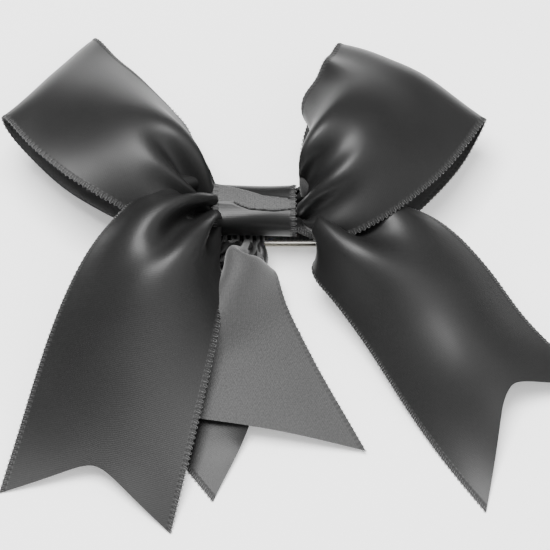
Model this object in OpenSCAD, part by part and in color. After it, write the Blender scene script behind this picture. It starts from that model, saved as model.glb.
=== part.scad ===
// Cheer hair bow: two open loops and fishtail tails of wide satin ribbon, gathered at the
// waist with thread, wrapped with a narrower ribbon and glued to a sprung alligator clip.
// Millimetres. +Z is the bow's front, -Y is the way the tails hang, X runs along the clip.
// Origin: under the knot, on the flat outer face of the clip's lower arm.

/* [Ribbon] */
// Width of the main ribbon and of the under tails
ribbon_w = 40; // [37:1:42]
// Thickness of the plain ribbon solids
ribbon_t = 0.6; // [0.4:0.1:0.8]
// Reach of the tails along the ground, as a share of the standard pattern
tail_reach = 1; // [0.9:0.02:1.1]
// Reach of the loops along the ground, as a share of the standard pattern
loop_reach = 1; // [0.9:0.02:1.1]
// Depth of the fishtail notches
notch_depth = 13; // [8:1:16]

/* [Knot] */
// Width of the ribbon wrapped round the waist
wrap_w = 19; // [16:1:22]
// Height of the gathered waist across the bow (Y)
waist_h = 11; // [10:0.5:13]
// Depth of the gathered waist, front to back (Z)
waist_d = 8; // [7.6:0.2:8.8]
// Radius of the gathering thread
thread_r = 0.3; // [0.2:0.05:0.4]
// Turns of thread round the waist
thread_turns = 3; // [2:1:4]

/* [Clip] */
// Length of the clip's jaw, from the hinge pin to its tip
jaw_l = 33; // [28:1:36]
// Length of the finger levers, from the hinge pin to their ends
lever_l = 15.5; // [14:0.5:17]
// Width of the upper arm
arm_w = 8.2; // [8:0.1:9]
// Thickness of the clip's steel
steel_t = 0.7; // [0.6:0.05:0.8]
// Radius of the hinge pin
pin_r = 0.7; // [0.6:0.05:0.75]
// Radial clearance of the lower arm on the pin
pin_gap = 0.05; // [0.03:0.01:0.08]
// Radius of the spring wire
wire_r = 0.2; // [0.15:0.05:0.2]

/* [Hidden] */

satin = "#2b2b2c";
matte_back = "#6d6d6d";
nickel = "#b9b7b0";
glue_white = "#e6e2d4";

// Heights, from the lower arm's outer face upwards
pin_x = -9;
pin_z = 2.2;
arm_mid_z = 3.95;
arm_top = arm_mid_z + steel_t / 2;
lining_t = 0.4;
lining_top = arm_top + lining_t;
fold_low = lining_top + 0.7;
fold_top = fold_low + 1.9;
wrap_t = 0.5;
wrap_fit = 0.1;
wrap_lift = 0.1;
waist_z = fold_top + wrap_lift + wrap_t + wrap_fit + waist_d / 2;

// A station across a ribbon: [x, y, z, heading of its chord, tilt of its chord,
// chord as a share of the ribbon's width, crown height]. Heights are set from the waist.
wz = waist_z;
left_tail_path = [
    [-9.5,   0, wz + 1.8, -90,   0, 0.27, 0.3],
    [-13,   -4,     17.5, -56, -10, 0.42, 1.2],
    [-18,  -11,     18.8, -26,  -9, 0.60, 2.0],
    [-22.5, -20,    16.5, -17,  -3, 0.74, 2.0],
    [-26.5, -31,    12.3, -12,   0, 0.86, 1.6],
    [-30.5, -44,     7.8, -11,   2, 0.93, 1.0],
    [-34.3, -58,     3.6, -13,   2, 0.97, 0.4],
    [-38.3, -72, ribbon_t / 2, -14, 0, 1.00, 0]];
right_tail_path = [
    [  9.5,  0, wz - 0.4,  90,   0, 0.27, 0.2],
    [ 16,   -7.5,    12.3,  55,   0, 0.42, 1.2],
    [ 25.5, -12,     11.4,  47,   0, 0.70, 1.6],
    [ 35,   -18,      8.5,  43,   0, 0.80, 1.6],
    [ 43.5, -25.5,    5.2,  40,   0, 0.88, 1.2],
    [ 52,   -36.5,    2.6,  38,   0, 0.93, 0.6],
    [ 60,   -47.5,    1.0,  37,   0, 0.95, 0.3],
    [ 68.3, -58.6, ribbon_t / 2, 37, 0, 0.97, 0]];
left_loop_path = [
    [-9.5,   0, wz + 0.4,  -90,   0, 0.27, 0.2],
    [-14.5,  4,     14.8, -101,   3, 0.45, 0.8],
    [-21,    9,     18.2, -109,   6, 0.64, 1.6],
    [-33,   17,     19.6, -118,   9, 0.82, 2.2],
    [-43.5, 28,     16.5, -124,  12, 0.88, 1.4],
    [-49.5, 37.5,     11, -126,  16, 0.90, 0],
    [-45,   33,      6.5, -126,   8, 0.90, 0.5],
    [-34,   21,      7.0, -122,   4, 0.86, 0.5],
    [-22.5, 10.5,   10.8, -112,   0, 0.68, 0.3],
    [-14,    3,     10.8,  -98,   0, 0.42, 0.2],
    [-9.5,   0, wz - 2.2,  -90,   0, 0.27, 0.1]];
right_loop_path = [
    [  9.5,  0, wz + 2.2,  -90,   0, 0.27, 0.3],
    [ 13,    1.5,   20.5,  -78,  -4, 0.56, 1.4],
    [ 19,    6.5,   23.8,  -68,   0, 0.88, 2.0],
    [ 27.5, 16.5,     23,  -59,   3, 0.99, 2.0],
    [ 35.5, 27,     18.5,  -49,   4, 1.00, 1.0],
    [ 40,   34,     12.5,  -39,   6, 1.00, 0],
    [ 37.5, 29.5,    7.5,  -44,   5, 1.00, 0.5],
    [ 30,   20,      6.6,  -52,   0, 0.98, 0.5],
    [ 20.5,  8.5,    7.4,  -63,   0, 0.84, 0.3],
    [ 13.5,  1.5,    8.8,  -80,   0, 0.50, 0.2],
    [  9.5,  0, wz - 2.6,  -90,   0, 0.27, 0.1]];
under_x = -3;
under_path = [
    [under_x, -5.2, 6.6, 0,  0, 0.26, 0.1],
    [-6.5, -11,   7.6,  12,  0, 0.42, 0.4],
    [-7.5, -22,   7.2,  20,  0, 0.72, 0.8],
    [-7.5, -34,   4.8,  22,  0, 0.90, 0.6],
    [-3.2, -46,   2.4,  22,  0, 0.96, 0.4],
    [ 2,   -56,   1.0,  22,  0, 0.97, 0.2],
    [ 8.2, -61.7, ribbon_t / 2, 22, 0, 0.97, 0]];
under_gap = ribbon_t + 0.4;

// Lengths of the free ends, and their cuts: depth at the first selvedge, place of the notch across
// the width, its depth, depth at the last selvedge. Depths are shares of notch_depth.
tail_l = 86;
under_tail_l = 63;
left_cut = [0, 0.49, 0.87, 0];
right_cut = [0, 0.55, 1.6, 0.8];
under_top_cut = [2.4, 0.5, 1.2, 0];
under_low_cut = [0, 0.46, 0.95, 0.4];

function place(v) = [v[0], v[1], v[2]];
// Smooth value of a station list at share s of its length
function spline(p, s) = let(
    n = len(p) - 1,
    i = min(floor(s * n), n - 1),
    f = s * n - i,
    a = p[max(i - 1, 0)], b = p[i], c = p[i + 1], d = p[min(i + 2, n)])
    0.5 * (2 * b + (c - a) * f + (2 * a - 5 * b + 4 * c - d) * f * f
           + (3 * b - a - 3 * c + d) * f * f * f);
function scaled(p, k) = [for (q = p) [q[0] * k, q[1] * k, q[2], q[3], q[4], q[5], q[6]]];
function unit(v) = v / max(norm(v), 1e-6);
// Direction of a chord from its heading and tilt
function chord_dir(q) = [cos(q[3]) * cos(q[4]), sin(q[3]) * cos(q[4]), sin(q[4])];
// Direction a ribbon runs in at share s
function run_dir(p, s) = unit(place(spline(p, min(s + 0.01, 1))) - place(spline(p, max(s - 0.01, 0))));
// Point on a ribbon: share s of its length, share w of its width; face picks the crown's side
function on_ribbon(p, s, w, face) = let(
    q = spline(p, s), c = chord_dir(q), n = face * unit(cross(run_dir(p, s), c)))
    place(q) + c * (w - 0.5) * q[5] * ribbon_w + n * q[6] * sin(180 * w);
// Depth of a cut end at lane w
function cut_depth(w, cut) = notch_depth * (w < cut[1]
    ? cut[0] + (cut[2] - cut[0]) * w / cut[1]
    : cut[3] + (cut[2] - cut[3]) * (1 - w) / (1 - cut[1]));
// Share of a length l at which lane w of the ribbon ends
function lane_end(w, cut, l) = 1 - cut_depth(w, cut) / (l * tail_reach);
function ribbon_grid(p, rows, lanes, face, cut, l) =
    [for (i = [0 : rows]) [for (j = [0 : lanes])
        on_ribbon(p, i / rows * lane_end(j / lanes, cut, l), j / lanes, face)]];
// Normal of a grid at a corner, from its neighbours
function grid_normal(g, i, j) = let(n = len(g) - 1, m = len(g[0]) - 1)
    unit(cross(g[min(i + 1, n)][j] - g[max(i - 1, 0)][j], g[i][min(j + 1, m)] - g[i][max(j - 1, 0)]));

// Closed sheet of thickness t about a grid of points
module sheet_solid(g, t) {
    n = len(g);
    m = len(g[0]);
    top = [for (i = [0 : n - 1]) for (j = [0 : m - 1]) g[i][j] + grid_normal(g, i, j) * t / 2];
    low = [for (i = [0 : n - 1]) for (j = [0 : m - 1]) g[i][j] - grid_normal(g, i, j) * t / 2];
    k = n * m;
    faces = concat(
        [for (i = [0 : n - 2]) for (j = [0 : m - 2]) each [
            [i * m + j, i * m + j + 1, i * m + j + m], [i * m + j + 1, i * m + j + m + 1, i * m + j + m],
            [k + i * m + j, k + i * m + j + m, k + i * m + j + 1],
            [k + i * m + j + 1, k + i * m + j + m, k + i * m + j + m + 1]]],
        [for (i = [0 : n - 2]) each [
            [i * m, i * m + m, k + i * m], [i * m + m, k + i * m + m, k + i * m],
            [i * m + m - 1, k + i * m + m - 1, i * m + 2 * m - 1],
            [i * m + 2 * m - 1, k + i * m + m - 1, k + i * m + 2 * m - 1]]],
        [for (j = [0 : m - 2]) each [
            [j, k + j, j + 1], [j + 1, k + j, k + j + 1],
            [(n - 1) * m + j, (n - 1) * m + j + 1, k + (n - 1) * m + j],
            [(n - 1) * m + j + 1, k + (n - 1) * m + j + 1, k + (n - 1) * m + j]]]);
    polyhedron(points = concat(top, low), faces = faces, convexity = 6);
}

// A loop of ribbon, whose ends stay square
module loop(p, face) {
    sheet_solid(ribbon_grid(scaled(p, loop_reach), 40, 6, face, [0, 0.5, 0, 0], 1), ribbon_t);
}
// A free end of ribbon, l long
module tail(p, l, cut) {
    sheet_solid(ribbon_grid(scaled(p, tail_reach), 24, 8, 1, cut, l), ribbon_t);
}

// Round tube along a list of points
module tube(path, r, sides) {
    n = len(path);
    function along(i) = unit(path[min(i + 1, n - 1)] - path[max(i - 1, 0)]);
    side = [0, 1, 0];
    pts = [for (i = [0 : n - 1]) let(
        d = along(i),
        up = unit(cross(d, abs(d[1]) > 0.9 ? [1, 0, 0] : side)),
        across = cross(d, up))
        for (a = [0 : sides - 1]) path[i] + r * (cos(a * 360 / sides) * up + sin(a * 360 / sides) * across)];
    walls = [for (i = [0 : n - 2]) for (a = [0 : sides - 1]) let(b = (a + 1) % sides) each [
        [i * sides + a, (i + 1) * sides + a, i * sides + b],
        [i * sides + b, (i + 1) * sides + a, (i + 1) * sides + b]]];
    polyhedron(points = pts, faces = concat(walls, [[for (a = [0 : sides - 1]) a]],
        [[for (a = [sides - 1 : -1 : 0]) (n - 1) * sides + a]]), convexity = 8);
}

// Rounded-box outline in the YZ plane: half sizes a and b
roundness = 0.6;
function pillow_point(a, b, t) = [a * sign(cos(t)) * pow(abs(cos(t)), roundness),
                                  b * sign(sin(t)) * pow(abs(sin(t)), roundness)];
function pillow(a, b) = [for (t = [0 : 9 : 351]) pillow_point(a, b, t)];
// Prism along X with that outline
module pillow_bar(x0, x1, a, b) {
    translate([x0, 0, waist_z]) rotate([90, 0, 90]) linear_extrude(x1 - x0) polygon(pillow(a, b));
}

groove_w = thread_turns * 2 * thread_r + 1;
groove_d = 2 * thread_r + 0.2;

module left_loop() { color(satin) loop(left_loop_path, 1); }
module right_loop() { color(satin) loop(right_loop_path, -1); }
module left_tail() { color(satin) tail(left_tail_path, tail_l, left_cut); }
module right_tail() { color(satin) tail(right_tail_path, tail_l, right_cut); }

// The three crossing layers of ribbon, pinched into pleats
module ribbon_waist() {
    color(satin) {
        pillow_bar(-wrap_w / 2, -groove_w / 2, waist_h / 2, waist_d / 2);
        pillow_bar(-groove_w / 2, groove_w / 2, waist_h / 2 - groove_d, waist_d / 2 - groove_d);
        pillow_bar(groove_w / 2, wrap_w / 2, waist_h / 2, waist_d / 2);
    }
}

// Under tails: one strip bent double behind the knot, its dull side out on the top leg
module under_tail_top() {
    color(matte_back) translate([0, 0, under_gap]) tail(under_path, under_tail_l, under_top_cut);
}
module under_tail_bottom() { color(satin) tail(under_path, under_tail_l, under_low_cut); }
fold_w = 0.27 * ribbon_w;
module under_tail_fold() {
    fold_l = 10;
    open_y = under_path[0][1] + 0.1;
    color(matte_back) translate([under_x - fold_w / 2, open_y, fold_low]) difference() {
        cube([fold_w, fold_l, fold_top - fold_low]);
        translate([-1, -1, ribbon_t + 0.15])
            cube([fold_w + 2, fold_l, fold_top - fold_low - 2 * ribbon_t - 0.3]);
    }
}

// Thread wound round the groove of the waist
module gather_thread() {
    clear = groove_d - thread_r - 0.17;
    steps = 28;
    pitch = 2 * thread_r + 0.06;
    path = [for (i = [0 : thread_turns * steps])
        let(p = pillow_point(waist_h / 2 - clear, waist_d / 2 - clear, i * 360 / steps))
        [(i / steps - thread_turns / 2) * pitch, p[0], waist_z + p[1]]];
    color(satin) tube(path, thread_r, 6);
}

module centre_wrap() {
    inner = wrap_fit;
    outer = wrap_fit + wrap_t;
    color(satin) difference() {
        pillow_bar(-wrap_w / 2, wrap_w / 2, waist_h / 2 + outer, waist_d / 2 + outer);
        pillow_bar(-wrap_w / 2 - 1, wrap_w / 2 + 1, waist_h / 2 + inner, waist_d / 2 + inner);
    }
}

// Hot glue between the lined clip, the under tails' fold and the back of the wrap
module clip_glue() {
    pad_l = wrap_w - 2;
    color(glue_white) translate([-pad_l / 2, -3, lining_top + 0.02]) difference() {
        cube([pad_l, 6, fold_top - lining_top + 0.05]);
        translate([under_x + (pad_l - fold_w) / 2 - 0.1, -1, fold_low - lining_top - 0.05])
            cube([fold_w + 0.2, 8, 4]);
    }
}

// Strip of constant thickness along a path of [x, z] points, w wide in Y
function left_of(d) = [-d[1], d[0]];
function path_normal(p, i) = let(n = len(p) - 1)
    left_of(unit(p[min(i + 1, n)] - p[max(i - 1, 0)]));
module strip(p, t, w) {
    n = len(p) - 1;
    edge = concat([for (i = [0 : n]) p[i] + path_normal(p, i) * t / 2],
                  [for (i = [n : -1 : 0]) p[i] - path_normal(p, i) * t / 2]);
    translate([0, w / 2, 0]) rotate([90, 0, 0]) linear_extrude(w) polygon(edge);
}

tip_x = pin_x + jaw_l;
lever_x = pin_x - lever_l;
lever_rise = 4.6;
// Upper arm, lever end to tip
arm_path = [[lever_x, arm_mid_z + lever_rise], [lever_x + 1.5, arm_mid_z + lever_rise - 0.35],
            [pin_x - 3, arm_mid_z + 0.6], [pin_x, arm_mid_z + 0.08], [pin_x + 2, arm_mid_z],
            [tip_x - 6, arm_mid_z], [tip_x - 4, arm_mid_z - 0.15], [tip_x - 2, arm_mid_z - 0.8],
            [tip_x, arm_mid_z - 1.9]];
ear_t = 0.6;
ear_r = 1.3;
inner_w = arm_w - 2 * ear_t - 0.6;

// Side plate with a round end about the pin; z_top is where it meets its arm
module ear(y, z_far, hole_r) {
    low = min(z_far, pin_z);
    translate([pin_x, y, 0]) rotate([90, 0, 0]) linear_extrude(ear_t, center = true) difference() {
        union() {
            translate([0, pin_z]) circle(r = ear_r, $fn = 48);
            translate([-ear_r, low]) square([2 * ear_r, abs(z_far - pin_z)]);
        }
        translate([0, pin_z]) circle(r = hole_r, $fn = 48);
    }
}

module clip_upper_arm() {
    color(nickel) {
        strip(arm_path, steel_t, arm_w);
        for (side = [-1, 1]) ear(side * (arm_w - ear_t) / 2, arm_mid_z, pin_r);
    }
}

module clip_lower_arm() {
    rear = pin_x - lever_l + 0.5;
    front = tip_x - 0.5;
    color(nickel) {
        translate([rear, -inner_w / 2, 0]) cube([front - rear - inner_w / 2, inner_w, steel_t]);
        translate([front - inner_w / 2, 0, 0]) cylinder(r = inner_w / 2, h = steel_t, $fn = 48);
        for (side = [-1, 1]) ear(side * (inner_w - ear_t) / 2, steel_t / 2, pin_r + pin_gap);
    }
}

module clip_pin() {
    head_t = 0.3;
    color(nickel) translate([pin_x, 0, pin_z]) rotate([90, 0, 0]) {
        cylinder(r = pin_r, h = arm_w, center = true, $fn = 48);
        for (side = [-1, 1]) translate([0, 0, side * (arm_w + head_t) / 2])
            cylinder(r = pin_r + 0.35, h = head_t, center = true, $fn = 48);
    }
}

// Torsion spring: a leg on each lever and a coil round the pin
module clip_spring() {
    coil_r = pin_r + 0.1 + wire_r;
    turns = 5;
    half_w = inner_w / 2 - ear_t - 0.5;
    leg_l = lever_l - 4;
    leave = 78;
    sweep = turns * 360 + 90 + leave;
    steps = 80;
    coil = [for (i = [0 : steps]) let(t = -90 + sweep * i / steps)
        [pin_x + coil_r * cos(t), half_w * (2 * i / steps - 1), pin_z + coil_r * sin(t)]];
    last = coil[steps];
    path = concat([[pin_x - leg_l, -half_w, pin_z - coil_r]], coil,
                  [last + leg_l * [-sin(leave), 0, cos(leave)]]);
    color(nickel) tube(path, wire_r, 8);
}

// Grosgrain lining over the top of the upper arm, round its tip and back inside the jaw
module clip_lining() {
    lift = (steel_t + lining_t) / 2 + 0.01;
    n = len(arm_path) - 1;
    over = [for (i = [4 : n]) arm_path[i] + path_normal(arm_path, i) * lift];
    under = [for (i = [n : -1 : 5]) arm_path[i] - path_normal(arm_path, i) * lift];
    out = unit(arm_path[n] - arm_path[n - 1]);
    turn = [arm_path[n] + out * lift];
    color(satin) strip(concat(over, turn, under), lining_t, arm_w - 0.6);
}

left_loop();
right_loop();
left_tail();
right_tail();
ribbon_waist();
under_tail_top();
under_tail_bottom();
under_tail_fold();
gather_thread();
centre_wrap();
clip_glue();
clip_lining();
clip_upper_arm();
clip_lower_arm();
clip_pin();
clip_spring();
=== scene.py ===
"""Looks of a cheer hair bow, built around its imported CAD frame. Lengths are millimetres, except
in the materials and on the stage, which are in metres like the objects that the script makes."""
import math

import bpy
import numpy as np
from mathutils.kdtree import KDTree
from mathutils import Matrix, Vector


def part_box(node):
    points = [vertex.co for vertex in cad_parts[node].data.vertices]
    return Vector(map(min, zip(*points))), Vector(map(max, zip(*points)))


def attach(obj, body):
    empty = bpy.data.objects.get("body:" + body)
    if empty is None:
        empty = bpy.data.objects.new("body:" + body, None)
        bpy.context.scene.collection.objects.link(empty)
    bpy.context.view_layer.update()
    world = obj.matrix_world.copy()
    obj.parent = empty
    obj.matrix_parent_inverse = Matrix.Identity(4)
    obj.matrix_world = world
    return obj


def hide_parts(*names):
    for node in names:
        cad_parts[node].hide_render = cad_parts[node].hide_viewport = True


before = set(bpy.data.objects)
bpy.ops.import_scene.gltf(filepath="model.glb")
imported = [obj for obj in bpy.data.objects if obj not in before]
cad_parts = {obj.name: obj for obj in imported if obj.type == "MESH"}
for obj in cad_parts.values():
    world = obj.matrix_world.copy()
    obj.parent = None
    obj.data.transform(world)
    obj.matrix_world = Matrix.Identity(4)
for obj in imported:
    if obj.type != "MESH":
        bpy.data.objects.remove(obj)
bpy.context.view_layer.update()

MM = 0.001


def node_box(name):
    """Lowest and highest corner of a CAD node, in millimetres."""
    low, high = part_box(name)
    return np.array(low) / MM, np.array(high) / MM


# ---------------------------------------------------------------- sizes, from the frame
WRAP_LOW, WRAP_HIGH = node_box("centre_wrap")
WAIST_Z = (WRAP_LOW[2] + WRAP_HIGH[2]) / 2
WAIST_X = WRAP_HIGH[0]
FOLD_LOW, FOLD_HIGH = node_box("under_tail_fold")
FOLD_X = (FOLD_LOW[0] + FOLD_HIGH[0]) / 2
LINING_LOW, LINING_HIGH = node_box("clip_lining")
GLUE_LOW, GLUE_HIGH = node_box("clip_glue")
ARM_LOW, ARM_HIGH = node_box("clip_upper_arm")

RIBBON_W = 40.0     # wide satin ribbon
WRAP_W = 19.0       # narrow satin ribbon
RIBBON_T = 0.28     # thickness of both
WAIST_SPREAD = 0.27  # chord of a row that the wrap holds, as a share of the ribbon's width
WRAP_CURVE = 0.72   # roundness of the wrap's outline: 1 is an ellipse, 0 a box
WRAP_ROOM = 1.2     # from the wrap's outside in to the layers of the waist
LEVER_RUN = 12.5    # slope of the clip's upper lever, from its end to the pin
LEVER_RISE = 4.0    # height of that slope
CLEAR = 0.5         # ribbon's middle above the lever
LAYER = 1.1         # height between the layers that cross in the waist
FOLD_HALF = 0.9     # half the height of the under ribbon's pressed fold
NOTCH = 13.0        # depth of a fishtail
PICOT = 1.2         # pitch of the loops along a selvedge
LOOP_R = 0.075      # radius of their yarn
LANES = 24          # strips across the ribbon in the relaxation
ROW = 1.7           # length of a row in the relaxation
UV_MM = 10.0        # one texture unit

# A station across a ribbon: x, y, z, heading and tilt of its chord in degrees, chord as a share
# of the ribbon's width, and lean: 1 crowds the pleats to the first selvedge, -1 to the last.
# Each list runs outwards from the waist.
def pinched(x, z):
    """Station of a row that the wrap holds."""
    return (x, 0, z, -90, 0, WAIST_SPREAD, 0)


wz = WAIST_Z
LEFT_TAIL = [
    pinched(-WAIST_X, wz + LAYER), (-13, -4, 17.5, -58, -24, 0.44, 0.4),
    (-18.5, -11, 18.6, -28, -18, 0.62, 1), (-23, -20, 16.5, -18, -8, 0.80, 1),
    (-26.8, -31, 13, -13, 0, 0.92, 0), (-30.5, -44, 8.8, -11, 3, 0.97, 0),
    (-34.3, -58, 4.2, -13, 3, 0.99, 0), (-38, -71.5, 0.3, -14, 0, 0.995, 0)]
RIGHT_TAIL = [
    pinched(WAIST_X, wz), (15.5, -6, 12.6, -125, -3, 0.42, 1),
    (24.5, -9.8, 12, -134, -7, 0.62, 1), (32.5, -15, 10.3, -142, -9, 0.78, 1),
    (40.2, -23.5, 7.4, -144, -8, 0.84, 0), (48, -35, 4.4, -144, -6, 0.87, 0),
    (57.5, -46, 2, -144, -3, 0.94, 0), (69, -58.3, 0.3, -144, 0, 0.99, 0)]
LEFT_LOOP = [
    pinched(-WAIST_X, wz), (-14.5, 3.5, 15, -101, 3, 0.45, -1),
    (-21.5, 8.5, 18, -108, 8, 0.68, -1), (-33.5, 17, 19.4, -115, 15, 0.90, -1),
    (-43.5, 28.3, 16.5, -120, 21, 0.98, 0), (-48.5, 36.8, 12, -121, 24, 0.998, 0),
    (-45, 32.5, 7.2, -121, 20, 0.98, 0), (-34, 21, 7.6, -119, 10, 0.90, 0),
    (-22.5, 10.5, 10.6, -112, 3, 0.68, 0), (-14, 3, 10.4, -98, 0, 0.42, 0),
    pinched(-WAIST_X, wz - LAYER)]
RIGHT_LOOP = [
    pinched(WAIST_X, wz + LAYER), (12.3, 1.7, 19.5, -74, -6, 0.58, -1),
    (19.3, 6.5, 22.5, -65, -9, 0.78, -1), (28.2, 16.3, 21.8, -51, -7, 0.90, -1),
    (34, 27.2, 18.2, -37, -2, 0.965, 0), (36.8, 34, 13, -31, 1, 0.96, 0),
    (34.5, 28.7, 7.3, -37, 5, 0.965, 0), (29, 20, 7, -49, 6, 0.96, 0),
    (20.5, 8.5, 8, -63, 3, 0.84, 0), (13.5, 1.5, 9.4, -80, 0, 0.50, 0),
    pinched(WAIST_X, wz - LAYER)]
UNDER_LOW = [
    (FOLD_X, -5.2, 5.9, 0, 0, 0.26, 0), (-7.6, -12, 4.4, 10, 0, 0.38, 1),
    (-10, -22, 2.2, 19, 0, 0.72, 0.4), (-8.6, -33, 1, 23, 0, 0.96, 0),
    (-3.6, -42.6, 0.8, 25, 0, 0.98, 0), (2.8, -49.8, 0.5, 27, 0, 0.985, 0),
    (10.4, -57.1, 0.5, 28, 0, 0.985, 0)]
UNDER_TOP = [
    (FOLD_X, -5.2, 6.9, 0, 0, 0.26, 0), (-8, -11, 8, 14, 0, 0.42, 1),
    (-9.4, -21, 6.2, 24, 0, 0.78, 0.4), (-8.7, -33, 4.0, 28, 0, 0.96, 0),
    (-4, -44, 3.2, 29, 0, 0.98, 0), (2, -54.8, 2.5, 29, 0, 0.985, 0),
    (7.9, -65.7, 1.3, 29, 0, 0.99, 0)]

# Cut ends: depth at the first selvedge, place of the notch across the width, its depth, depth
# at the last selvedge. Depths are shares of NOTCH.
LEFT_CUT = (0, 0.49, 0.87, 0)
RIGHT_CUT = (0.8, 0.45, 1.6, 0)
UNDER_LOW_CUT = (0, 0.46, 0.95, 2.1)
UNDER_TOP_CUT = (2.4, 0.5, 1.2, 0)


# ---------------------------------------------------------------- ribbon surfaces
def unit(v):
    return v / np.maximum(np.linalg.norm(v, axis=-1, keepdims=True), 1e-9)


def smooth(t):
    t = np.clip(t, 0, 1)
    return t * t * (3 - 2 * t)


def spline(stations, count):
    """Catmull-Rom samples through the stations, evenly spaced along their centre line."""
    p = np.array(stations, float)
    p = np.vstack([2 * p[0] - p[1], p, 2 * p[-1] - p[-2]])
    fine = []
    for i in range(1, len(p) - 2):
        f = np.linspace(0, 1, 40, endpoint=i == len(p) - 3)[:, None]
        a, b, c, d = p[i - 1:i + 3]
        fine.append(0.5 * (2 * b + (c - a) * f + (2 * a - 5 * b + 4 * c - d) * f ** 2
                           + (3 * b - a - 3 * c + d) * f ** 3))
    fine = np.vstack(fine)
    step = np.linalg.norm(np.diff(fine[:, :3], axis=0), axis=1)
    along = np.concatenate([[0], np.cumsum(step)])
    want = np.linspace(0, along[-1], count)
    return np.stack([np.interp(want, along, fine[:, k]) for k in range(fine.shape[1])], 1), along[-1]


def pleat_weights(spread):
    """Half-waves across the ribbon, from tight pleats at the waist to one soft arch."""
    tight = 1 - smooth((spread - WAIST_SPREAD) / 0.15)
    loose = smooth((spread - 0.5) / 0.4)
    middle = np.clip(1 - tight - loose, 0, 1)
    return {7: tight, 4: 0.35 * middle, 3: 0.8 * middle, 2: 0.25 * middle, 1: 0.9 * loose + 0.2 * middle}


def cross_section(spread, lean, rise, crown):
    """Points across a ribbon whose chord is that share of its width, at equal steps of its
    real width. rise is how far its satin faces up: pleats turn over with it, so layers nest.
    crown is 1 where it arches towards its satin, and -1 the other way."""
    u = np.linspace(0, 1, 161)
    v = u if lean >= 0 else 1 - u
    power = 1 - 0.4 * abs(lean)
    weights = pleat_weights(spread)
    pleats = sum(w * np.sin(k * math.pi * v ** power) / k for k, w in weights.items() if k > 1)
    shape = rise * pleats * v ** (1 - power) + crown * (0.02 + weights[1]) * np.sin(math.pi * u)
    chord = spread * RIBBON_W

    def curve(height):
        x, z = (u - 0.5) * chord, shape * height
        return x, z, np.concatenate([[0], np.cumsum(np.hypot(np.diff(x), np.diff(z)))])

    low, high = 0.0, 60.0
    for _ in range(30):
        mid = (low + high) / 2
        if curve(mid)[2][-1] > RIBBON_W:
            high = mid
        else:
            low = mid
    x, z, run = curve(low)
    want = np.linspace(0, run[-1], LANES + 1)
    return np.interp(want, run, x), np.interp(want, run, z), 2 * np.mean(z * np.sin(math.pi * u))


def lane_places(ribs):
    """How far along the flat ribbon each point is: its lane's own length from the row that is
    furthest from the knot. ribs are the rows without their pleats."""
    step = np.linalg.norm(np.diff(ribs, axis=0), axis=-1)
    run = np.concatenate([np.zeros((1, step.shape[1])), np.cumsum(step, axis=0)])
    middle = ribs[:, LANES // 2]
    return run - run[np.argmax(np.hypot(middle[:, 0], middle[:, 1]))]


def surface(stations, crown=1):
    """Rows of points for a run of ribbon, their places along the flat ribbon, and how far its
    rows are gathered."""
    rows = max(3, int(round(spline(stations, 2)[1] / ROW)) + 1)
    st, _ = spline(stations, rows)
    heading, tilt = np.radians(st[:, 3]), np.radians(st[:, 4])
    chord = np.stack([np.cos(heading) * np.cos(tilt), np.sin(heading) * np.cos(tilt), np.sin(tilt)], 1)
    normal = unit(np.cross(chord, unit(np.gradient(st[:, :3], axis=0))))
    grid = np.zeros((rows, LANES + 1, 3))
    ribs = np.zeros_like(grid)
    share = np.linspace(0, 1, LANES + 1)
    for i in range(rows):
        x, z, arch = cross_section(min(st[i, 5], 0.998), st[i, 6], normal[i, 2], crown)
        grid[i] = st[i, :3] + np.outer(x, chord[i]) + np.outer(z, normal[i])
        ribs[i] = st[i, :3] + np.outer((share - 0.5) * st[i, 5] * RIBBON_W, chord[i])
        kept = REST_ARCH + (1 - REST_ARCH) * smooth((st[i, 5] - 0.92) / 0.04)
        ribs[i] += np.outer(kept * arch * np.sin(math.pi * share), normal[i])
    return grid, lane_places(ribs), 1 - st[:, 5]


def crossing(z, x_from, x_to):
    """Stations for a straight run inside the wrap."""
    return [pinched(x_from, z), pinched(x_to, z)]


def joined(runs, held_runs):
    """A strip from runs that share their end rows: its grid, each point's place along the flat
    ribbon, the gather of its rows, and the ranges of rows that are held."""
    starts = np.concatenate([[0], np.cumsum([len(run[0]) - 1 for run in runs])])
    middle = LANES // 2
    grid, flat, gather = runs[0]
    for points, places, gathers in runs[1:]:
        grid = np.vstack([grid, points[1:]])
        flat = np.vstack([flat, places[1:] + flat[-1, middle] - places[0, middle]])
        gather = np.concatenate([gather, gathers[1:]])
    return grid, flat - flat[0, middle], gather, [(starts[k], starts[k + 1]) for k in held_runs]


def squeeze(points):
    """Moves points in to where the wrap presses the layers of the waist together."""
    half = (WRAP_HIGH - WRAP_LOW)[1:] / 2 - WRAP_ROOM
    off = points[..., 1:] - (0, WAIST_Z)
    reach = np.sum((np.abs(off) / half) ** (2 / WRAP_CURVE), axis=-1, keepdims=True) ** (WRAP_CURVE / 2)
    points[..., 1:] = (0, WAIST_Z) + off / np.maximum(reach, 1)


def main_ribbon():
    """The long ribbon: left tail, over the waist, right loop, under it, left loop, right tail."""
    strip = joined([
        surface(LEFT_TAIL[::-1]), surface(crossing(wz + LAYER, -WAIST_X, WAIST_X)),
        surface(RIGHT_LOOP), surface(crossing(wz - LAYER, WAIST_X, -WAIST_X)),
        surface(LEFT_LOOP[::-1]), surface(crossing(wz, -WAIST_X, WAIST_X)),
        surface(RIGHT_TAIL)], (1, 3, 5))
    for start, end in strip[3]:
        squeeze(strip[0][start:end + 1])
    return strip


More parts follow.
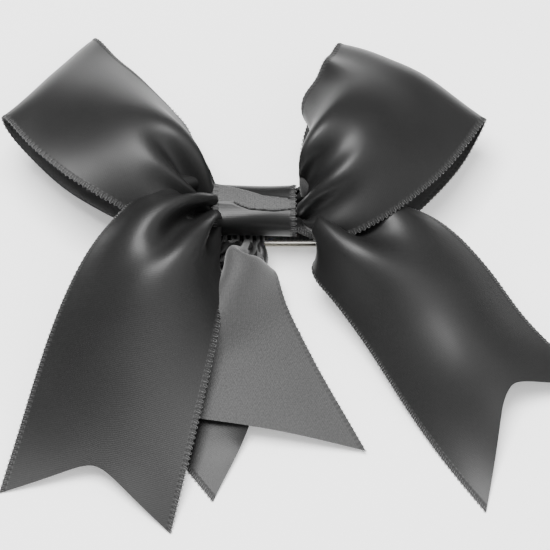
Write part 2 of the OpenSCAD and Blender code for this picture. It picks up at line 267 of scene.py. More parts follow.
def under_ribbon():
    """The strip bent double behind the knot, from the lower leg's tip to the upper leg's."""
    low, high = UNDER_LOW[0], UNDER_TOP[0]
    middle = (low[2] + high[2]) / 2
    turn_y = FOLD_HIGH[1] - 0.6
    bend = [low, (FOLD_X, turn_y - 1, low[2], *low[3:]), (FOLD_X, turn_y, middle, *low[3:]),
            (FOLD_X, turn_y - 1, high[2], *low[3:]), high]
    strip = joined([surface(UNDER_LOW[::-1]), surface(bend), surface(UNDER_TOP, -1)], (1,))
    start, end = strip[3][0]
    fold = strip[0][start:end + 1]
    fold[:, :, 2] = middle + np.clip(fold[:, :, 2] - middle, -FOLD_HALF, FOLD_HALF)
    return strip


def cut_depth(cut):
    w = np.linspace(0, 1, LANES + 1)
    return NOTCH * np.interp(w, [0, cut[1], 1], [cut[0], cut[2], cut[3]])


def cut_end(grid, flat, cut):
    """Slides the rows near the first end so that the ribbon ends in its cut. Rows nearer than
    blend move, and those up to reach say where to."""
    blend, reach = 46.0, 50.0
    depth = cut_depth(cut)
    for j in range(LANES + 1):
        rows = np.nonzero(flat[:, j] < reach)[0]
        old = flat[rows, j]
        new = np.where(old < blend, depth[j] + (old - old[0]) * (blend - depth[j]) / (blend - old[0]), old)
        for k in range(3):
            grid[rows, j, k] = np.interp(new, old, grid[rows, j, k])
        flat[rows, j] = new


def cut_ends(grid, flat, first_cut, last_cut):
    """Cuts both ends, the last one seen from its own side."""
    total = flat[-1, LANES // 2]
    cut_end(grid, flat, first_cut)
    turned = total - flat[::-1]
    cut_end(grid[::-1], turned, last_cut)
    flat[:] = total - turned[::-1]


# ---------------------------------------------------------------- cloth relaxation
STEPS = 110
ROUNDS = 9
GOAL = 0.03         # pull towards the start, per step
GATHER_GOAL = 0.01  # extra pull where the ribbon is fully gathered
REST_ARCH = 0.2     # share of a gathered row's arch that its lanes are long enough for
BEND = 0.15         # resistance to bending, per round
SHEAR = 0.02        # resistance of the weave to shear, per round
SAG = 0.002         # fall per step
LAYER_GAP = 1.0     # least distance between points of different layers
LAYER_REACH = 3.0   # distance within which points are watched
SAME_LAYER = 12.0   # points nearer than this along the ribbon are one layer


def pull(x, w, a, b, rest, share):
    """Moves the points of slices a and b towards their rest distance."""
    d = x[b] - x[a]
    length = np.linalg.norm(d, axis=-1)
    move = d * (share * (length - rest) / np.maximum(length * (w[a] + w[b]), 1e-9))[..., None]
    x[a] += w[a][..., None] * move
    x[b] -= w[b][..., None] * move


def straighten(x, w, a, b, c):
    """Moves the points of slices a, b and c, neighbours in a line, towards no bend."""
    bend = x[a] - 2 * x[b] + x[c]
    move = bend * (BEND / np.maximum(w[a] + 4 * w[b] + w[c], 1e-9))[..., None]
    x[a] -= w[a][..., None] * move
    x[b] += 2 * w[b][..., None] * move
    x[c] -= w[c][..., None] * move


def threads(rows, lanes, flat):
    """Pairs of slices that the weave holds together, with their rest lengths and shares."""
    found = []
    for down, right, share in ((1, 0, 1.0), (0, 1, 1.0), (1, 1, SHEAR), (1, -1, SHEAR)):
        for odd in (0, 1):
            if down:
                a = slice(odd, rows - 1, 2), slice(max(0, -right), lanes - max(0, right))
                b = slice(odd + 1, rows, 2), slice(max(0, right), lanes - max(0, -right))
            else:
                a = slice(None), slice(odd, lanes - 1, 2)
                b = slice(None), slice(odd + 1, lanes, 2)
            found.append((a, b, np.linalg.norm(flat[b] - flat[a], axis=-1), share))
    return found


def triples(rows, lanes):
    """Slices of three neighbours in a line, along and across the ribbon."""
    found = []
    for first in range(3):
        found.append([(slice(first + k, rows - 2 + k, 3), slice(None)) for k in range(3)])
        found.append([(slice(None), slice(first + k, lanes - 2 + k, 3)) for k in range(3)])
    return found


def layer_pairs(points, places):
    """Pairs of points that are close in space but far apart along the ribbons."""
    tree = KDTree(len(points))
    for k, p in enumerate(points):
        tree.insert(p, k)
    tree.balance()
    pairs = [(k, other) for k, p in enumerate(points)
             for _, other, _ in tree.find_range(p, LAYER_REACH)
             if other > k and abs(places[other] - places[k]) > SAME_LAYER]
    return np.array(pairs, int).reshape(-1, 2).T


def keep_apart(points, w, a, b):
    d = points[b] - points[a]
    length = np.linalg.norm(d, axis=1)
    short = np.maximum(LAYER_GAP - length, 0) / np.maximum(length, 1e-6)
    move = 0.5 * d * (short / np.maximum(w[a] + w[b], 1e-9))[:, None]
    np.add.at(points, a, -move * w[a][:, None])
    np.add.at(points, b, move * w[b][:, None])


def lift_off_lever(points, free):
    """Keeps free ribbon above the clip's upper lever, which slopes up to its end."""
    x, y = points[:, 0], points[:, 1]
    top = np.interp(x, (ARM_LOW[0], ARM_LOW[0] + LEVER_RUN), (ARM_HIGH[2], ARM_HIGH[2] - LEVER_RISE))
    over = (x > ARM_LOW[0] - 1) & (x < -WAIST_X) & (np.abs(y) < ARM_HIGH[1] + 0.5) & (free > 0)
    points[over, 2] = np.maximum(points[over, 2], top[over] + CLEAR)


def relax(strips):
    """Cloth relaxation of strips, each a grid with its flat places, gathers and held rows. Woven
    lengths stay those of the flat cut, the weave resists bending, layers keep apart, and the
    floor and the clip's lever carry what reaches them. Returns the relaxed grids."""
    sheets = []
    for grid, flat, _, held in strips:
        rows, lanes = grid.shape[:2]
        across = np.repeat(np.linspace(0, RIBBON_W, lanes)[None], rows, 0)
        free = np.ones((rows, lanes))
        for first, last in held:
            free[first:last + 1] = 0
        sheets.append((free, threads(rows, lanes, np.stack([across, flat], 2)), triples(rows, lanes)))
    points = np.vstack([strip[0].reshape(-1, 3) for strip in strips])
    places = np.concatenate([np.repeat(strip[1][:, LANES // 2], LANES + 1) + 1000 * k
                             for k, strip in enumerate(strips)])
    goal = GOAL + GATHER_GOAL * np.concatenate([np.repeat(strip[2], LANES + 1) for strip in strips])
    free_all = np.concatenate([free.ravel() for free, _, _ in sheets])
    ends = np.cumsum([0] + [free.size for free, _, _ in sheets])
    views = [points[a:b].reshape(strip[0].shape) for a, b, strip in zip(ends, ends[1:], strips)]
    start, before = points.copy(), points.copy()
    for step in range(STEPS):
        if step % 8 == 0:
            near = layer_pairs(points, places)
        drift = 0.9 * (points - before) + goal[:, None] * (start - points) - (0, 0, SAG)
        before[:] = points
        points += drift * free_all[:, None]
        for _ in range(ROUNDS):
            for (free, links, lines), view in zip(sheets, views):
                for a, b, c in lines:
                    straighten(view, free, a, b, c)
                for a, b, rest, share in links:
                    pull(view, free, a, b, rest, share)
            keep_apart(points, free_all, *near)
            lift_off_lever(points, free_all)
            points[:, 2] = np.maximum(points[:, 2], RIBBON_T)
    return views


# ---------------------------------------------------------------- meshes
def between(g):
    """Doubles a grid's rows by cubic midpoints."""
    p = np.concatenate([2 * g[:1] - g[1:2], g, 2 * g[-1:] - g[-2:-1]])
    out = np.empty((2 * len(g) - 1,) + g.shape[1:])
    out[::2] = g
    out[1::2] = (9 * (p[1:-2] + p[2:-1]) - p[:-3] - p[3:]) / 16
    return out


def finer(g):
    """Doubles a grid's rows and lanes."""
    return between(between(g).swapaxes(0, 1)).swapaxes(0, 1)


def new_object(name, verts, faces, materials):
    """A smooth mesh on the bow's body, from points in millimetres."""
    mesh = bpy.data.meshes.new(name)
    mesh.from_pydata((np.asarray(verts) * MM).tolist(), [], faces)
    mesh.polygons.foreach_set("use_smooth", np.ones(len(faces), bool))
    for m in materials:
        mesh.materials.append(m)
    ob = bpy.data.objects.new(name, mesh)
    bpy.context.collection.objects.link(ob)
    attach(ob, "bow")
    return ob


def grid_normals(grid):
    """Unit normals on the satin side: across the ribbon, crossed with along it."""
    return unit(np.cross(np.gradient(grid, axis=1), np.gradient(grid, axis=0)))


def ribbon_sheet(name, grid, uv, thickness, materials):
    """Closed sheet about a grid: first material on the satin side and the cut rim, second on
    the reverse. uv gives each grid point's place on the flat ribbon."""
    n, m = grid.shape[:2]
    half = grid_normals(grid) * thickness / 2
    verts = np.vstack([(grid + half).reshape(-1, 3), (grid - half).reshape(-1, 3)])
    count = n * m
    at = np.arange(count).reshape(n, m)
    a, b, c, d = (q.ravel() for q in (at[:-1, :-1], at[:-1, 1:], at[1:, 1:], at[1:, :-1]))
    front = np.stack([a, b, c, d], 1)
    back = np.stack([a, d, c, b], 1) + count
    ring = np.concatenate([at[0], at[1:, -1], at[-1, -2::-1], at[-2:0:-1, 0]])
    after = np.roll(ring, -1)
    rim = np.stack([after, ring, ring + count, after + count], 1)
    faces = np.vstack([front, back, rim])
    ob = new_object(name, verts, faces.tolist(), materials)
    mesh = ob.data
    kind = np.zeros(len(faces), int)
    kind[len(front):len(front) + len(back)] = 1
    mesh.polygons.foreach_set("material_index", kind)
    corner = np.empty(len(mesh.loops), int)
    mesh.loops.foreach_get("vertex_index", corner)
    layer = mesh.uv_layers.new(name="weave")
    layer.data.foreach_set("uv", (uv.reshape(-1, 2)[corner % count] / UV_MM).ravel())
    edge = np.empty(2 * len(mesh.edges), int)
    mesh.edges.foreach_get("vertices", edge)
    edge = edge.reshape(-1, 2)
    on_ring = np.zeros(2 * count, bool)
    on_ring[ring] = on_ring[ring + count] = True
    step = np.abs(edge[:, 0] - edge[:, 1])
    sharp = on_ring[edge].all(1) & (step != count)
    mesh.edges.foreach_set("use_edge_sharp", sharp)
    return ob


def tubes(paths, radius, sides):
    """Vertices and faces of open-ended tubes, from an array of paths of equally many points."""
    count, steps = paths.shape[:2]
    along = unit(np.gradient(paths, axis=1))
    side = unit(np.cross(along, np.roll(along, 1, axis=1) + (0.31, 0.17, 0.93)))
    up = np.cross(along, side)
    turn = np.arange(sides) * 2 * math.pi / sides
    ring = (side[:, :, None] * np.cos(turn)[:, None] + up[:, :, None] * np.sin(turn)[:, None]) * radius
    verts = (paths[:, :, None] + ring).reshape(-1, 3)
    at = np.arange(count * steps * sides).reshape(count, steps, sides)
    nxt = np.roll(at, -1, axis=2)
    faces = np.stack([at[:, :-1], nxt[:, :-1], nxt[:, 1:], at[:, 1:]], -1).reshape(-1, 4)
    return verts, faces.tolist()


# A selvedge loop's points: out of the ribbon, along its selvedge, and up from its face
LOOP_SHAPE = ((-0.9, -0.26, 0.12), (-0.3, -0.28, 0.19), (0.16, -0.22, 0.08), (0.28, 0, 0),
              (0.16, 0.22, 0.08), (-0.3, 0.28, 0.19), (-0.9, 0.26, 0.12))


def selvedge_loops(name, grid, material, bare=None):
    """Weft loops that stand out of both selvedges of a ribbon's grid, PICOT apart. Places for
    which the function bare is true get none."""
    up_all = grid_normals(grid)
    paths = []
    for edge, inner in ((0, 2), (-1, -3)):
        line = grid[:, edge]
        run = np.concatenate([[0], np.cumsum(np.linalg.norm(np.diff(line, axis=0), axis=1))])
        sites = np.arange(PICOT / 2, run[-1], PICOT)

        def at(values):
            return np.stack([np.interp(sites, run, values[:, k]) for k in range(3)], 1)

        if bare:
            sites = sites[~bare(at(line))]
        p, along, up = at(line), unit(at(np.gradient(line, axis=0))), unit(at(up_all[:, edge]))
        out = unit(p - at(grid[:, inner]))
        paths.append(np.stack([p + out * o + along * s + up * h for o, s, h in LOOP_SHAPE], 1))
    verts, faces = tubes(np.vstack(paths), LOOP_R, 4)
    return new_object(name, verts, faces, [material])


# ---------------------------------------------------------------- materials
class Shader:
    """A new material's node tree, with short calls for the nodes that the materials share."""

    def __init__(self, name, **settings):
        self.material = bpy.data.materials.new(name)
        self.material.use_nodes = True
        self.tree = self.material.node_tree
        self.bsdf = self.tree.nodes["Principled BSDF"]
        for socket, value in settings.items():
            self.bsdf.inputs[socket.replace("_", " ")].default_value = value

    def node(self, kind, inputs=(), **options):
        made = self.tree.nodes.new(kind)
        for key, value in options.items():
            setattr(made, key, value)
        for key, value in dict(inputs).items():
            self.put(value, made.inputs[key])
        return made

    def put(self, value, socket):
        if isinstance(value, bpy.types.NodeSocket):
            self.tree.links.new(value, socket)
        else:
            socket.default_value = value

    def math(self, operation, a, b=0.0, c=0.0):
        return self.node("ShaderNodeMath", {0: a, 1: b, 2: c}, operation=operation).outputs[0]

    def noise(self, vector, scale, detail=2.0, rough=0.5):
        return self.node("ShaderNodeTexNoise", {"Vector": vector, "Scale": scale, "Detail": detail,
                                                "Roughness": rough}).outputs[0]

    def ramp(self, value, low, high, to_low=0.0, to_high=1.0):
        ends = {1: low, 2: high, 3: to_low, 4: to_high}
        return self.node("ShaderNodeMapRange", {0: value, **ends}).outputs[0]

    def mix(self, share, a, b):
        return self.node("ShaderNodeMix", {0: share, 6: a, 7: b}, data_type="RGBA").outputs[2]

    def bump(self, height, distance, strength=1.0):
        made = self.node("ShaderNodeBump", {"Height": height, "Distance": distance, "Strength": strength})
        self.tree.links.new(made.outputs[0], self.bsdf.inputs["Normal"])

    def flat_place(self):
        """The flat ribbon's coordinates, in texture units, as a vector and its two parts."""
        uv = self.node("ShaderNodeUVMap", uv_map="weave").outputs[0]
        parts = self.node("ShaderNodeSeparateXYZ", {0: uv})
        return uv, parts.outputs[0], parts.outputs[1]

    def object_place(self):
        return self.node("ShaderNodeTexCoord").outputs["Object"]


def grey(value, warmth=0.0):
    return (value * (1 + warmth), value, value * (1 - warmth), 1)


def ribs(s, coordinate, pitch):
    """Rounded ribs of a pitch in millimetres along a coordinate of the flat ribbon, 0 to 1."""
    phase = s.math("MULTIPLY", coordinate, 2 * math.pi * UV_MM / pitch)
    return s.math("MULTIPLY_ADD", s.math("SINE", phase), 0.5, 0.5)


def edge_band(s, across, width, band):
    """1 within band millimetres of either selvedge of a ribbon of that width."""
    from_middle = s.math("ABSOLUTE", s.math("SUBTRACT", across, width / 2 / UV_MM))
    return s.ramp(from_middle, (width / 2 - band - 0.25) / UV_MM, (width / 2 - band) / UV_MM)


def satin(name, width, dark, light, rough):
    """Black satin: long floats along the ribbon, faint weft picks, a ribbed selvedge."""
    s = Shader(name, Anisotropic=0.45, Sheen_Weight=0.01, Sheen_Roughness=0.35, IOR=1.33)
    uv, across, along = s.flat_place()
    stretched = s.node("ShaderNodeMapping", {"Vector": uv, "Scale": (14.0, 1.6, 1.0)}).outputs[0]
    floats = s.noise(stretched, 6.0, 3.0)
    cloud = s.noise(uv, 0.55, 2.0)
    picks = ribs(s, along, 0.42)
    fray = s.noise(uv, 26.0, 2.0)
    band = edge_band(s, across, width, 1.1)
    ticks = s.math("MULTIPLY", band, ribs(s, along, PICOT))
    tone = s.math("MULTIPLY_ADD", floats, 0.55, s.math("MULTIPLY", cloud, 0.45))
    colour = s.mix(s.ramp(tone, 0.3, 0.7), grey(dark), grey(light))
    s.put(s.mix(s.math("MULTIPLY", ticks, 0.5), colour, grey(light * 2.2)), s.bsdf.inputs["Base Color"])
    shine = s.math("MULTIPLY_ADD", s.math("SUBTRACT", floats, 0.5), 0.12, rough)
    s.put(s.math("MULTIPLY_ADD", band, 0.16, shine), s.bsdf.inputs["Roughness"])
    relief = s.math("MULTIPLY_ADD", picks, 0.25, s.math("MULTIPLY", floats, 0.8))
    relief = s.math("MULTIPLY_ADD", fray, 0.35, relief)
    s.bump(s.math("MULTIPLY_ADD", ticks, 2.5, relief), 0.00004, 0.55)
    return s.material


def reverse(name, width, dark, light):
    """Dull reverse of the satin: short crossed yarns that read as a fine speckle."""
    s = Shader(name, Roughness=0.72, Sheen_Weight=0.25, Sheen_Roughness=0.5, IOR=1.45)
    uv, across, along = s.flat_place()
    twill = ribs(s, s.math("MULTIPLY_ADD", across, 0.6, along), 0.55)
    yarn = ribs(s, across, 0.5)
    weave = s.math("MULTIPLY", twill, yarn)
    speckle = s.noise(uv, 22.0, 3.0, 0.65)
    cloud = s.noise(uv, 0.8, 2.0)
    band = edge_band(s, across, width, 1.1)
    ticks = s.math("MULTIPLY", band, ribs(s, along, PICOT))
    tone = s.math("MULTIPLY_ADD", weave, 0.25, s.ramp(speckle, 0.3, 0.7, 0.0, 0.6))
    tone = s.math("MULTIPLY_ADD", cloud, 0.2, tone)
    colour = s.mix(tone, grey(dark), grey(light))
    s.put(s.mix(s.math("MULTIPLY", ticks, 0.6), colour, grey(dark * 0.5)), s.bsdf.inputs["Base Color"])
    relief = s.math("MULTIPLY_ADD", weave, 0.6, speckle)
    s.bump(s.math("MULTIPLY_ADD", ticks, 1.5, relief), 0.00005, 0.8)
    return s.material


def plied(name, dark, light, pitch):
    """Twisted yarn, for the selvedge loops and the gather thread."""
    s = Shader(name, Roughness=0.5, Sheen_Weight=0.3)
    place = s.object_place()
    wave = s.node("ShaderNodeTexWave", {"Vector": place, "Scale": 1 / (pitch * MM) / 6, "Distortion": 2.0,
                                        "Detail": 1.0}, bands_direction="DIAGONAL").outputs[1]
    s.put(s.mix(wave, grey(dark), grey(light)), s.bsdf.inputs["Base Color"])
    s.bump(wave, 0.00003, 0.7)
    return s.material


def grosgrain():
    """Black grosgrain: heavy cross ribs, fine warp between them."""
    s = Shader("grosgrain", Roughness=0.62, Sheen_Weight=0.2)
    uv, across, along = s.flat_place()
    rib, warp = ribs(s, along, 0.9), ribs(s, across, 0.25)
    fuzz = s.noise(uv, 30.0, 2.0)
    s.put(s.mix(s.math("MULTIPLY_ADD", fuzz, 0.4, s.math("MULTIPLY", rib, 0.6)), grey(0.012), grey(0.045)),
          s.bsdf.inputs["Base Color"])
    s.bump(s.math("MULTIPLY_ADD", warp, 0.3, rib), 0.00008, 0.8)
    return s.material


def set_glue():
    """Hot-melt glue: cloudy, slightly yellow, with small bubbles."""
    s = Shader("hot_glue", Roughness=0.28, Subsurface_Weight=0.35, Subsurface_Scale=0.003,
               Coat_Weight=0.2, IOR=1.48)
    place = s.object_place()
    cloud = s.noise(place, 300.0, 3.0)
    bubble = s.node("ShaderNodeTexVoronoi", {"Vector": place, "Scale": 900.0}).outputs[0]
    s.put(s.mix(cloud, (0.78, 0.74, 0.62, 1), (0.88, 0.86, 0.78, 1)), s.bsdf.inputs["Base Color"])
    s.bump(s.math("MULTIPLY_ADD", s.ramp(bubble, 0.0, 0.3), 0.3, cloud), 0.0002, 0.4)
    return s.material


def nickel():
    """Nickel-plated stamped steel: a brushed grain along X, handling marks, dull edges."""
    s = Shader("nickel_steel", Metallic=1.0, Anisotropic=0.4)
    place = s.object_place()
    brushed = s.node("ShaderNodeMapping", {"Vector": place, "Scale": (1.0, 22.0, 22.0)}).outputs[0]
    grain = s.noise(brushed, 260.0, 3.0)
    marks = s.noise(place, 140.0, 4.0)
    worn = s.ramp(s.node("ShaderNodeNewGeometry").outputs["Pointiness"], 0.5, 0.56)
    base = s.mix(s.ramp(marks, 0.45, 0.7), (0.68, 0.67, 0.63, 1), (0.55, 0.54, 0.5, 1))
    s.put(s.mix(s.math("MULTIPLY", worn, 0.6), base, (0.8, 0.78, 0.73, 1)), s.bsdf.inputs["Base Color"])
    dull = s.ramp(marks, 0.3, 0.8, 0.16, 0.34)
    s.put(s.math("MULTIPLY_ADD", grain, 0.16, dull), s.bsdf.inputs["Roughness"])
    s.bump(grain, 0.00002, 0.5)
    return s.material


def spring_wire():
    """Drawn spring wire, with die lines and a little oil."""
    s = Shader("spring_steel", Metallic=1.0, Coat_Weight=0.15)
    place = s.object_place()
    drawn = s.node("ShaderNodeMapping", {"Vector": place, "Scale": (1.0, 5.0, 1.0)}).outputs[0]
    lines = s.noise(drawn, 700.0, 3.0)
    s.put(s.mix(lines, (0.42, 0.41, 0.39, 1), (0.6, 0.58, 0.55, 1)), s.bsdf.inputs["Base Color"])
    s.put(s.ramp(lines, 0.2, 0.8, 0.2, 0.36), s.bsdf.inputs["Roughness"])
    s.bump(lines, 0.00002, 0.5)
    return s.material


SATIN = satin("satin", RIBBON_W, 0.006, 0.012, 0.42)
REVERSE = reverse("satin_reverse", RIBBON_W, 0.012, 0.055)
WRAP_SATIN = satin("wrap_satin", WRAP_W, 0.004, 0.01, 0.36)
# The wrap's reverse, lighter than the main ribbon's: the real reverse on the wrap's inside, and a painted
# highlight on the fold band of its outside.
WRAP_REVERSE_AND_HIGHLIGHT = reverse("wrap_reverse_and_painted_highlight", WRAP_W, 0.012, 0.08)
LOOP_YARN = plied("selvedge_yarn", 0.02, 0.07, 0.3)
THREAD = plied("gather_thread", 0.01, 0.04, 0.5)


# ---------------------------------------------------------------- ribbons of the bow
def flat_uv(flat, width):
    across = np.repeat(np.linspace(0, width, flat.shape[1])[None], len(flat), 0)
    return np.stack([across, flat], 2)


def inside_wrap(p):
    """Which points lie in the wrap or touch it."""
    middle, half = (WRAP_LOW + WRAP_HIGH) / 2, (WRAP_HIGH - WRAP_LOW) / 2
    return np.all(np.abs(p - middle) < half + (0.3, 1, 1), axis=1)


def dressed_ribbon(name, grid, flat, node_names):
    """The finished ribbon, its selvedge loops, and what they stand for."""
    fine_grid = finer(grid)
    ob = ribbon_sheet(name, fine_grid, flat_uv(finer(flat), RIBBON_W), RIBBON_T, [SATIN, REVERSE])
    loops = selvedge_loops(name + "_selvedges", fine_grid, LOOP_YARN, inside_wrap)
    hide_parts(*node_names)


main_strip, under_strip = main_ribbon(), under_ribbon()
(main, main_flat), (under, under_flat) = main_strip[:2], under_strip[:2]
cut_ends(main, main_flat, LEFT_CUT, RIGHT_CUT)
cut_ends(under, under_flat, UNDER_LOW_CUT, UNDER_TOP_CUT)
main, under = relax([main_strip, under_strip])
dressed_ribbon("main_ribbon", main, main_flat,
               ("left_loop", "right_loop", "left_tail", "right_tail", "ribbon_waist"))
dressed_ribbon("under_ribbon", under, under_flat,
               ("under_tail_top", "under_tail_bottom", "under_tail_fold"))


# ---------------------------------------------------------------- the wrap round the knot
def fold_band(across):
    """First and last turn, in degrees, of the fold band. Its outer faces take the lighter reverse material,
    as a painted highlight on the fold's top facet where it faces the light.
    """
    return (np.interp(across, (0, 0.3, 0.6, 1), (40, 62, 84, 90)),
            np.interp(across, (0, 0.25, 0.45, 0.75, 1), (88, 90, 102, 106, 101)))


def wrap_outline(turn, x):
    """Point of the wrap's middle surface at an angle in degrees round the knot and a place
    across the wrap. A slanting fold crosses its top, where the ribbon was pulled tight."""
    a = np.radians(turn)
    half_y = (WRAP_HIGH[1] - WRAP_LOW[1]) / 2 - RIBBON_T
    half_z = (WRAP_HIGH[2] - WRAP_LOW[2]) / 2 - RIBBON_T
    across = x / WRAP_W + 0.5
    round_turn = np.mod(turn, 360)
    first, last = fold_band(across)
    raised = 0.45 * smooth((round_turn - first + 3) / 5) * smooth((last + 3 - round_turn) / 5)
    pinch = -0.35 * np.exp(-((round_turn - 300) / 14) ** 2)
    ripple = 0.1 * np.sin(np.radians(3 * turn) + 4 * across)
    waist_in = 0.25 * (1 - (2 * across - 1) ** 2)
    r = raised + (pinch + ripple) - waist_in * np.abs(np.cos(a))
    y = (half_y + r) * np.sign(np.cos(a)) * np.abs(np.cos(a)) ** WRAP_CURVE
    z = (half_z + r) * np.sign(np.sin(a)) * np.abs(np.sin(a)) ** WRAP_CURVE
    return np.stack([x + 0 * turn, y, WAIST_Z + z], -1)


def reverse_as_fold_highlight(ob, turn, across):
    """Gives the outer faces of the fold's band, which come first, the lighter reverse material: a painted
    highlight where the fold's top facet faces the light.
    """
    def middles(v):
        return (v[:-1, :-1] + v[1:, 1:]) / 2

    first, last = fold_band(middles(across))
    folded = ((middles(turn) > first) & (middles(turn) < last)).ravel()
    kind = np.zeros(len(ob.data.polygons), int)
    ob.data.polygons.foreach_get("material_index", kind)
    kind[:len(folded)][folded] = 1
    ob.data.polygons.foreach_set("material_index", kind)


def centre_wrap():
    """Narrow ribbon wound once round the waist. Its last part lies over its first, behind the
    knot."""
    start, end = -130.0, 290.0
    turns = np.linspace(start, end, 240)
    xs = np.linspace(-WRAP_W / 2, WRAP_W / 2, 57)
    turn, x = np.meshgrid(turns, xs, indexing="ij")
    grid = wrap_outline(turn, x)
    lapped = smooth((turns - (end - 75)) / 30)[:, None, None]
    middle = np.array([0, 0, WAIST_Z])
    outward = unit((grid - middle) * (0, 1, 1))
    grid = grid + outward * lapped * RIBBON_T * 1.5
    run = np.concatenate([[0], np.cumsum(np.linalg.norm(np.diff(grid[:, len(xs) // 2], axis=0), axis=1))])
    flat = np.repeat(run[:, None], len(xs), 1)
    grid = grid[:, ::-1]
    ob = ribbon_sheet("centre_wrap_ribbon", grid, flat_uv(flat, WRAP_W), RIBBON_T,
                      [WRAP_SATIN, WRAP_REVERSE_AND_HIGHLIGHT])
    # Painted highlight: the fold band's outer faces get the lighter reverse material.
    reverse_as_fold_highlight(ob, turn[:, ::-1], x[:, ::-1] / WRAP_W + 0.5)
    loops = selvedge_loops("centre_wrap_selvedges", grid[::2, ::2], LOOP_YARN)
    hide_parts("centre_wrap")


centre_wrap()


# ---------------------------------------------------------------- clip
def clip_lining():
    """Grosgrain strip glued over the upper arm, folded round its tip."""
    tip_x = LINING_HIGH[0]
    top, thick = LINING_HIGH[2], 0.4
    lower = top - 1.15
    over = [(LINING_LOW[0], 0), (tip_x - 7, 0), (tip_x - 4.6, -0.15), (tip_x - 2.4, -0.75),
            (tip_x - 0.6, -1.7)]
    path = [(x, top - thick / 2 + dz) for x, dz in over]
    path += [(tip_x - thick / 2, lower - 1.2)]
    path += [(x - 0.3, lower + thick / 2 + dz) for x, dz in over[::-1]]
    p = np.array(path)
    run = np.concatenate([[0], np.cumsum(np.hypot(*np.diff(p, axis=0).T))])
    rows = np.arange(0, run[-1], 0.3)
    half = (LINING_HIGH[1] - LINING_LOW[1]) / 2
    ys = np.linspace(half, -half, 17)
    centre = np.stack([np.interp(rows, run, p[:, k]) for k in (0, 1)], 1)
    along = unit(np.gradient(centre, axis=0))
    out = np.stack([-along[:, 1], along[:, 0]], 1)
    centre = centre + out * 0.05 * np.cos(rows * 2 * math.pi / 0.9)[:, None]
    grid = np.zeros((len(rows), len(ys), 3))
    grid[:, :, 0], grid[:, :, 1], grid[:, :, 2] = centre[:, None, 0], ys, centre[:, None, 1]
    flat = np.repeat(rows[:, None], len(ys), 1)
    ob = ribbon_sheet("clip_lining_ribbon", grid, flat_uv(flat, 2 * half), thick - 0.12,
                      [GROSGRAIN, GROSGRAIN])
    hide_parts("clip_lining")


def glue_pad():
    """Hot glue squeezed out between the lining, the under ribbon's fold and the wrap."""
    half = (GLUE_HIGH - GLUE_LOW) / 2
    middle = (GLUE_HIGH + GLUE_LOW) / 2
    around, up = 64, 20
    u = np.linspace(0, 2 * math.pi, around, endpoint=False)
    v = np.linspace(-math.pi / 2, math.pi / 2, up + 1)[1:-1]
    lumps = 1 + 0.05 * np.sin(5 * u + 0.6) + 0.04 * np.sin(9 * u + 2.1)
    x = np.outer(np.cos(v) ** 0.5, np.sign(np.cos(u)) * np.abs(np.cos(u)) ** 0.6 * lumps) * half[0]
    y = np.outer(np.cos(v) ** 0.5, np.sign(np.sin(u)) * np.abs(np.sin(u)) ** 0.6 * lumps) * half[1]
    z = np.outer(np.sign(np.sin(v)) * np.abs(np.sin(v)) ** 0.8, np.ones(around)) * half[2]
    verts = np.vstack([np.stack([x, y, z], 2).reshape(-1, 3), [(0, 0, -half[2]), (0, 0, half[2])]]) + middle
    rows = up - 1
    faces = [(i * around + j, i * around + (j + 1) % around, (i + 1) * around + (j + 1) % around,
              (i + 1) * around + j) for i in range(rows - 1) for j in range(around)]
    low, high, last = rows * around, rows * around + 1, (rows - 1) * around
    faces += [(low, (j + 1) % around, j) for j in range(around)]
    faces += [(high, last + j, last + (j + 1) % around) for j in range(around)]
    ob = new_object("clip_glue_pad", verts, faces, [set_glue()])
    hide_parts("clip_glue")


GROSGRAIN = grosgrain()
clip_lining()
glue_pad()


def dress_node(name, material):
    """Gives a CAD node that keeps its shape a finished material."""
    ob = bpy.data.objects[name]
    for place in ob.material_slots:
        place.material = material


NICKEL = nickel()
for name in ("clip_upper_arm", "clip_lower_arm", "clip_pin"):
    dress_node(name, NICKEL)
dress_node("clip_spring", spring_wire())
dress_node("gather_thread", THREAD)


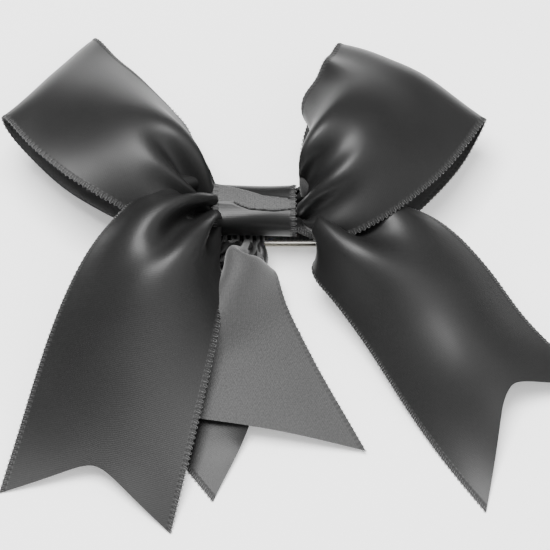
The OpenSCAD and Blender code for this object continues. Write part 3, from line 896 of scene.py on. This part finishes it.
# ---------------------------------------------------------------- stage
def link(name, data):
    ob = bpy.data.objects.new(name, data)
    bpy.context.collection.objects.link(ob)
    return ob


def area_light(name, place, aim, size, watts):
    light = bpy.data.lights.new(name, "AREA")
    light.energy, light.size = watts, size
    ob = link(name, light)
    ob.location = place
    direction = np.array(place) - np.array(aim)
    ob.rotation_euler = (math.atan2(math.hypot(direction[0], direction[1]), direction[2]), 0,
                         math.atan2(direction[1], direction[0]) + math.pi / 2)


# Places and sizes on the stage are in metres.
CAMERA_LIFT = 62    # elevation of the view, degrees
camera = link("camera", bpy.data.cameras.new("camera"))
camera.location = (0.0048, -0.3439, 0.6269)
camera.data.lens = 198.8
camera.rotation_euler = (math.radians(90 - CAMERA_LIFT), 0, 0)
bpy.context.scene.camera = camera

area_light("key", (-0.12, 0.06, 0.85), (0, 0, 0), 0.45, 19)
area_light("fill", (0.5, -0.2, 0.6), (0, 0, 0), 0.8, 3)

floor_mesh = bpy.data.meshes.new("floor")
floor_mesh.from_pydata([(-2, -2, 0), (2, -2, 0), (2, 2, 0), (-2, 2, 0)], [], [(0, 1, 2, 3)])
floor = link("floor", floor_mesh)
pale = Shader("floor_paper", Roughness=0.7, Emission_Color=(1, 1, 1, 1), Emission_Strength=0.35)
mottle = pale.noise(pale.object_place(), 40.0, 3.0)
pale.put(pale.mix(mottle, grey(0.92), grey(0.95)), pale.bsdf.inputs["Base Color"])
floor_mesh.materials.append(pale.material)

world = bpy.data.worlds.new("world")
bpy.context.scene.world = world
world.use_nodes = True
sky = world.node_tree
coordinates = sky.nodes.new("ShaderNodeTexCoord")
parts = sky.nodes.new("ShaderNodeSeparateXYZ")
glow = sky.nodes.new("ShaderNodeMapRange")      # dim at the horizon, bright overhead
for socket, value in zip(glow.inputs[1:5], (0.1, 1.0, 0.12, 1.15)):
    socket.default_value = value
background = sky.nodes["Background"]
background.inputs[0].default_value = (1, 1, 1, 1)
sky.links.new(coordinates.outputs["Generated"], parts.inputs[0])
sky.links.new(parts.outputs[2], glow.inputs[0])
sky.links.new(glow.outputs[0], background.inputs[1])
